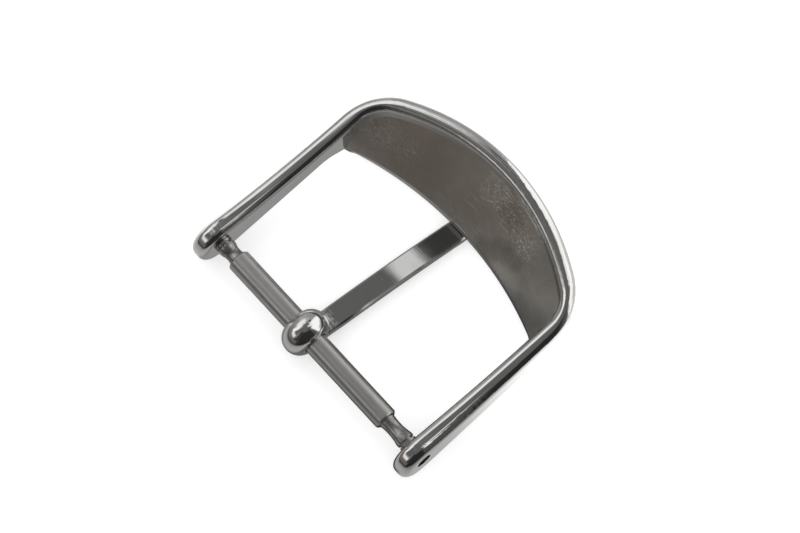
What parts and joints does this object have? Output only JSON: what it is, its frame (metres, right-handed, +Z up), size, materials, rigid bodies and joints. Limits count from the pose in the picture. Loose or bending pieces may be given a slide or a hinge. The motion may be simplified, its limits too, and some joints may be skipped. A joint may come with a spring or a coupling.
{
  "type": "watch tang buckle",
  "caption": "Polished steel tang buckle for an 18 mm watch strap: bowed frame with sloping plate, tongue looped on a sprung bar.",
  "frame": {"origin": "middle of the spring bar's axis, half way between the two arms", "axes": "+X along the spring bar, +Y from the bar to the bow, +Z up towards the wrist side; the buckle lies with its outer side down"},
  "size_m": [0.021, 0.0187, 0.0062],
  "materials": {
    "polished_steel": "mirror-polished stainless steel, fine scratches on the plate's inner face",
    "satin_steel": "drawn stainless tube, satin along its length",
    "turned_steel": "turned stainless pin, fine rings",
    "spring_steel": "drawn spring wire"
  },
  "bodies": {
    "frame": {"buckle_frame": "polished_steel"},
    "spring_bar": {"spring_bar_tube": "satin_steel", "spring_bar_spring": "spring_steel"},
    "left_pin": {"spring_bar_pin_left": "turned_steel"},
    "right_pin": {"spring_bar_pin_right": "turned_steel"},
    "tongue": {"tongue": "polished_steel"}
  },
  "joints": [
    {"name": "bar_turn", "type": "hinge", "parent": "frame", "child": "spring_bar", "pos_m": [0, 0, 0], "axis": [1, 0, 0], "continuous": true},
    {"name": "left_pin_slide", "type": "slide", "parent": "spring_bar", "child": "left_pin", "axis": [1, 0, 0], "range_m": [0, 0.00083], "stiffness_N_per_m": 150, "deforming": ["spring_bar_spring"]},
    {"name": "right_pin_slide", "type": "slide", "parent": "spring_bar", "child": "right_pin", "axis": [-1, 0, 0], "range_m": [0, 0.0016], "stiffness_N_per_m": 150, "deforming": ["spring_bar_spring"]},
    {"name": "tongue_swing", "type": "hinge", "parent": "frame", "child": "tongue", "pos_m": [-0.001, 0, 0], "axis": [-1, 0, 0], "range_deg": [0, 340]}
  ]
}
